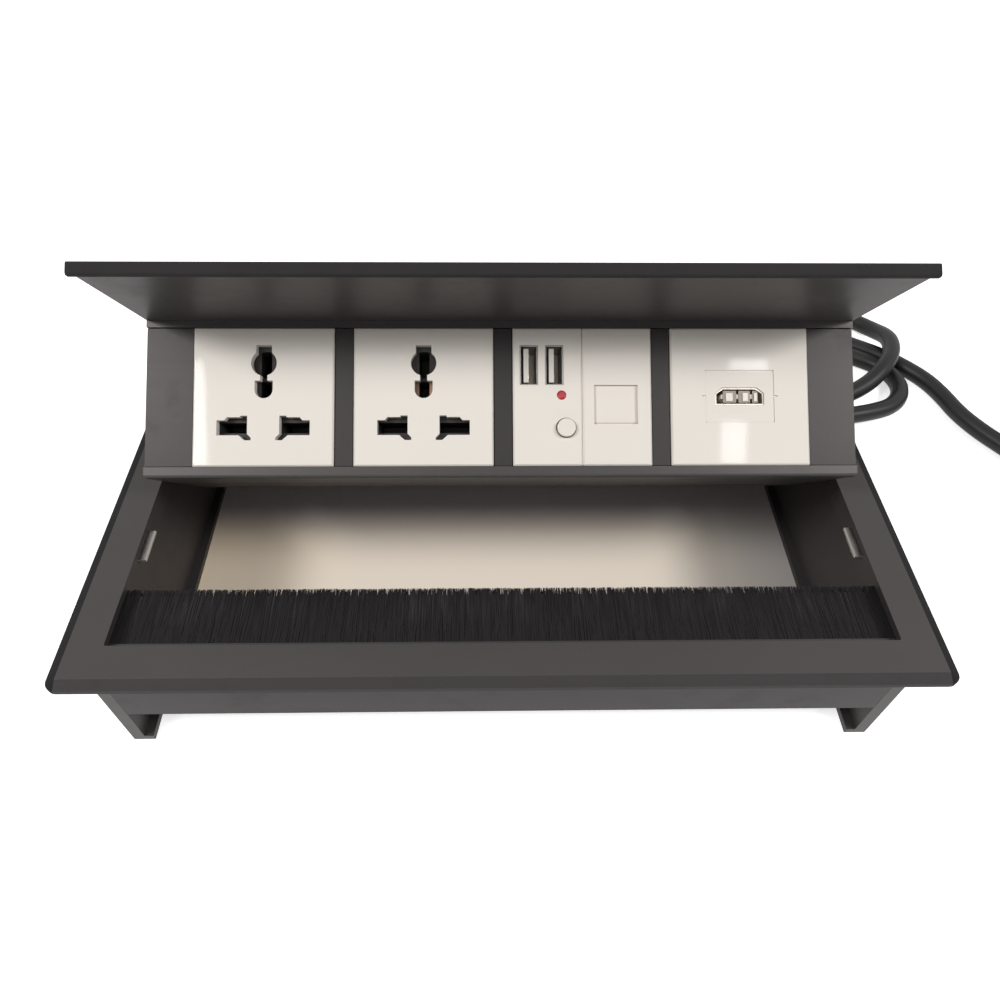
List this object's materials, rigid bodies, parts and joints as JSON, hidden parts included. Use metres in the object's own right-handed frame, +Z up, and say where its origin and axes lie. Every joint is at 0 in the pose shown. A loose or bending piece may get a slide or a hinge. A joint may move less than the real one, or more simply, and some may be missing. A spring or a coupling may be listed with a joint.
{
  "type": "desktop socket hub",
  "caption": "Flip-up in-desk socket box with mains outlets, charging ports, a shuttered data jack and a video outlet, under a long lid that opens from a bevelled frame with a cable brush.",
  "frame": {"origin": "centre of the box that bounds the frame, walls and lid, at the bottom of the side plates", "axes": "+X along the front edge to the right, +Y away from the user towards the hinge, +Z up"},
  "size_m": [0.4874, 0.286, 0.1401],
  "materials": {
    "anodised_grey": "satin dark grey anodised",
    "black_screw_steel": "black oxide",
    "bright_steel": "bright, slightly brushed",
    "brass": "turned",
    "copper_contacts": "pressed copper alloy",
    "gold_contacts": "gold plated",
    "port_steel": "nickel plated",
    "bristle_nylon": "fine black bristles",
    "black_plastic": "fine texture",
    "white_plastic": "warm white, semi-gloss",
    "red_lens": "translucent red",
    "board_green": "solder mask",
    "cord_rubber": "soft black sheath",
    "plug_plastic": "moulded black",
    "wire_insulation": "coloured insulation"
  },
  "bodies": {
    "base": {"frame": "anodised_grey", "front_wall": "anodised_grey", "rear_wall": "anodised_grey", "side_plate_left": "anodised_grey", "side_plate_right": "anodised_grey", "wall_screws": "black_screw_steel", "lid_rests": "bright_steel", "rest_rivets": "bright_steel", "stop_pins": "bright_steel", "pivot_bushes": "brass", "plug_pins": "brass", "brush_bristles": "bristle_nylon", "brush_holder": "black_plastic", "cable_gland": "black_plastic", "gland_nut": "black_plastic", "power_cord": "cord_rubber", "cord_coil": "cord_rubber", "cord_tail": "cord_rubber", "cord_boot": "cord_rubber", "inlet_cord": "cord_rubber", "plug_relief": "cord_rubber", "plug_body": "plug_plastic"},
    "lid": {"pivot_screws": "black_screw_steel", "hinge_inserts": "brass", "friction_discs": "bright_steel", "lid_plate": "anodised_grey", "box_shell": "anodised_grey", "end_caps": "anodised_grey", "cap_screws": "black_screw_steel", "plate_screws": "black_screw_steel", "end_blocks": "anodised_grey", "module_dividers": "anodised_grey", "socket_face_1": "white_plastic", "socket_face_2": "white_plastic", "socket_body_1": "black_plastic", "socket_body_2": "black_plastic", "socket_contacts": "copper_contacts", "usb_face": "white_plastic", "usb_shells": "port_steel", "usb_tongues": "white_plastic", "led_lens": "red_lens", "button_switch": "black_plastic", "charger_board": "board_green", "charger_parts": "black_plastic", "charger_case": "black_plastic", "data_face": "white_plastic", "data_jack": "black_plastic", "jack_contacts": "gold_contacts", "data_case": "black_plastic", "video_face": "white_plastic", "video_insert": "white_plastic", "video_shell": "port_steel", "video_tongue": "white_plastic", "video_coupler": "black_plastic", "lead_grommet": "black_plastic", "terminal_block": "white_plastic", "terminal_screws": "bright_steel", "inner_wires": "wire_insulation"},
    "usb_button": {"usb_button": "white_plastic"},
    "data_shutter": {"data_shutter": "white_plastic"}
  },
  "joints": [
    {"name": "lid_hinge", "type": "hinge", "parent": "base", "child": "lid", "pos_m": [0, 0.05985, 0.0485], "axis": [1, 0, 0], "range_deg": [0, 52.2]},
    {"name": "button_press", "type": "slide", "parent": "lid", "child": "usb_button", "axis": [0, 0.6129, -0.7902], "range_m": [0, 0.0009], "stiffness_N_per_m": 800},
    {"name": "shutter_slide", "type": "slide", "parent": "lid", "child": "data_shutter", "axis": [0, 0.7902, 0.6129], "range_m": [0, 0.0143]}
  ]
}
